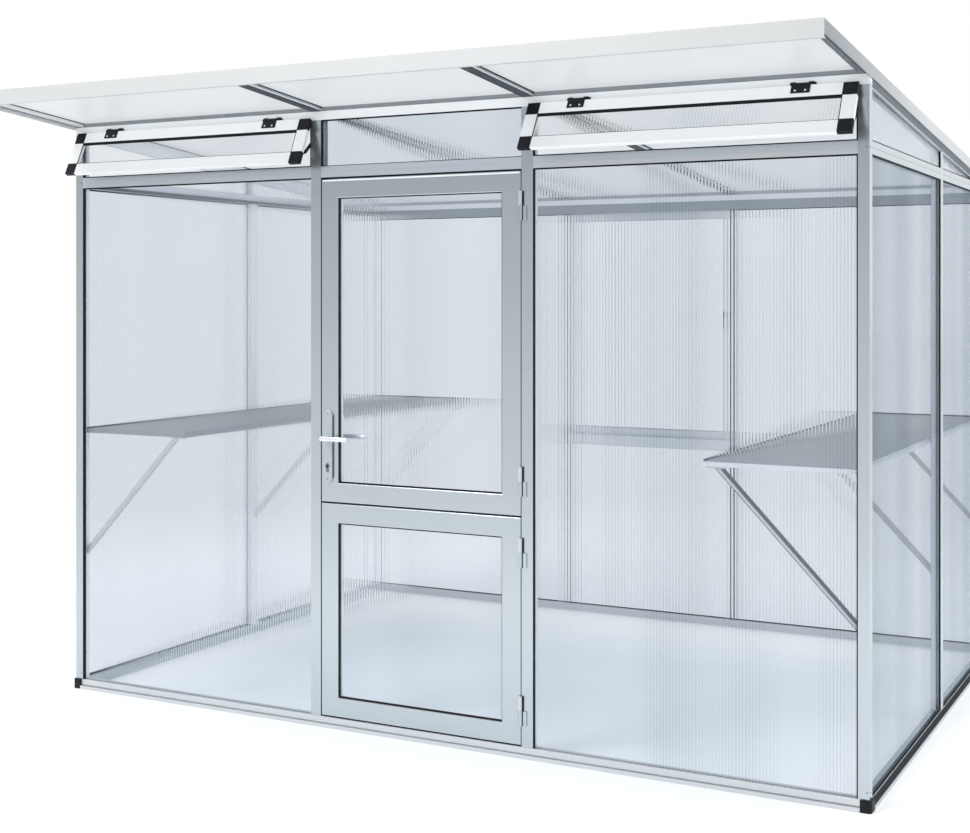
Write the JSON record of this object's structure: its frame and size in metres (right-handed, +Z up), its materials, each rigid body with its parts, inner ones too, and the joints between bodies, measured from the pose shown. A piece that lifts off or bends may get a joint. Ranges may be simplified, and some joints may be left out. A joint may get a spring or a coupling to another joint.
{
  "type": "single-slope greenhouse",
  "caption": "Aluminium greenhouse with a single-slope roof, twin-wall glazing, a split stable door, hinged top vents, a rear window and side shelves.",
  "frame": {"origin": "on the ground, under the middle of the plan box round the whole part", "axes": "+X to the right along the front wall, +Y from the high front wall to the low rear wall, +Z up"},
  "size_m": [3.144, 2.86, 2.2943],
  "materials": {
    "aluminium": "mill satin",
    "bright_aluminium": "bright satin",
    "white_aluminium": "pale satin",
    "shelf_aluminium": "dull satin",
    "clear_sheet": "clear ribbed twin-wall sheet",
    "opal_sheet": "opal twin-wall sheet",
    "polished_steel": "polished",
    "black_plastic": "matte"
  },
  "bodies": {
    "frame": {"front_sill": "aluminium", "rear_sill": "aluminium", "left_sill": "aluminium", "right_sill": "aluminium", "front_left_post": "aluminium", "front_right_post": "aluminium", "rear_right_post": "aluminium", "rear_left_post": "aluminium", "door_post_left": "aluminium", "door_post_right": "aluminium", "front_head_rail": "aluminium", "left_head_rail": "aluminium", "right_head_rail": "aluminium", "rear_head_rail": "aluminium", "rear_mid_rail": "aluminium", "rear_mullion_left": "aluminium", "rear_mullion_right": "aluminium", "left_mullion": "aluminium", "right_mullion": "aluminium", "left_verge": "aluminium", "right_verge": "aluminium", "left_rafter": "aluminium", "right_rafter": "aluminium", "rear_eave_trim": "aluminium", "front_top_rail": "bright_aluminium", "fascia": "white_aluminium", "left_shelf": "shelf_aluminium", "right_shelf": "shelf_aluminium", "front_pane_left": "clear_sheet", "front_pane_right": "clear_sheet", "transom_pane": "clear_sheet", "right_pane_front": "clear_sheet", "right_pane_rear": "clear_sheet", "left_pane_rear": "clear_sheet", "left_pane_front": "clear_sheet", "rear_pane_right": "clear_sheet", "rear_pane_left": "clear_sheet", "rear_pane_lower": "clear_sheet", "gable_pane_left": "clear_sheet", "gable_pane_right": "clear_sheet", "roof_sheet_left": "opal_sheet", "roof_sheet_middle": "opal_sheet", "roof_sheet_right": "opal_sheet"},
    "door_upper": {"door_upper_frame": "aluminium", "door_upper_pane": "clear_sheet", "handle_plate_outer": "polished_steel", "handle_plate_inner": "polished_steel"},
    "door_lower": {"door_lower_frame": "aluminium", "door_lower_pane": "clear_sheet"},
    "lever": {"door_lever": "polished_steel"},
    "latch": {"latch_bolt": "polished_steel"},
    "vent_left": {"vent_frame_left": "white_aluminium", "vent_pane_left": "clear_sheet"},
    "vent_right": {"vent_frame_right": "white_aluminium", "vent_pane_right": "clear_sheet"},
    "stay_left": {"vent_stay_left": "black_plastic"},
    "stay_right": {"vent_stay_right": "black_plastic"},
    "window": {"window_frame": "white_aluminium", "window_pane": "clear_sheet"},
    "window_handle": {"window_handle": "black_plastic"}
  },
  "joints": [
    {"name": "door_upper_hinge", "type": "hinge", "parent": "frame", "child": "door_upper", "pos_m": [0.4015, -0.898, 1.39], "axis": [0, 0, 1], "range_deg": [0, 170]},
    {"name": "door_lower_hinge", "type": "hinge", "parent": "frame", "child": "door_lower", "pos_m": [0.4015, -0.898, 0.425], "axis": [0, 0, 1], "range_deg": [0, 170]},
    {"name": "door_lever_turn", "type": "hinge", "parent": "door_upper", "child": "lever", "pos_m": [-0.3695, -0.89, 1.042], "axis": [0, 1, 0], "range_deg": [0, 40], "stiffness_Nm_per_rad": 1.2, "springref_deg": -20.05},
    {"name": "latch_slide", "type": "slide", "parent": "door_upper", "child": "latch", "axis": [1, 0, 0], "range_m": [0, 0.012]},
    {"name": "vent_left_hinge", "type": "hinge", "parent": "frame", "child": "vent_left", "pos_m": [-0.987, -0.898, 2.195], "axis": [-1, 0, 0], "range_deg": [-24, 5]},
    {"name": "vent_right_hinge", "type": "hinge", "parent": "frame", "child": "vent_right", "pos_m": [0.987, -0.898, 2.195], "axis": [-1, 0, 0], "range_deg": [-29, 0]},
    {"name": "stay_left_pivot", "type": "hinge", "parent": "frame", "child": "stay_left", "pos_m": [-0.447, -0.866, 2.12], "axis": [-1, 0, 0], "range_deg": [-48.8, 10.2]},
    {"name": "stay_right_pivot", "type": "hinge", "parent": "frame", "child": "stay_right", "pos_m": [1.527, -0.866, 2.12], "axis": [-1, 0, 0], "range_deg": [-55.2, 0]},
    {"name": "window_hinge", "type": "hinge", "parent": "frame", "child": "window", "pos_m": [-0.418, 1.378, 1.417], "axis": [0, 0, 1], "range_deg": [0, 90]},
    {"name": "window_handle_turn", "type": "hinge", "parent": "window", "child": "window_handle", "pos_m": [0.385, 1.372, 1.47], "axis": [0, 1, 0], "range_deg": [0, 90]}
  ],
  "couplings": [
    {"joint": "latch_slide", "follows": "door_lever_turn", "m_per_rad": 0.0171},
    {"joint": "stay_left_pivot", "follows": "vent_left_hinge", "ratio": 2.03},
    {"joint": "stay_right_pivot", "follows": "vent_right_hinge", "ratio": 1.9}
  ]
}
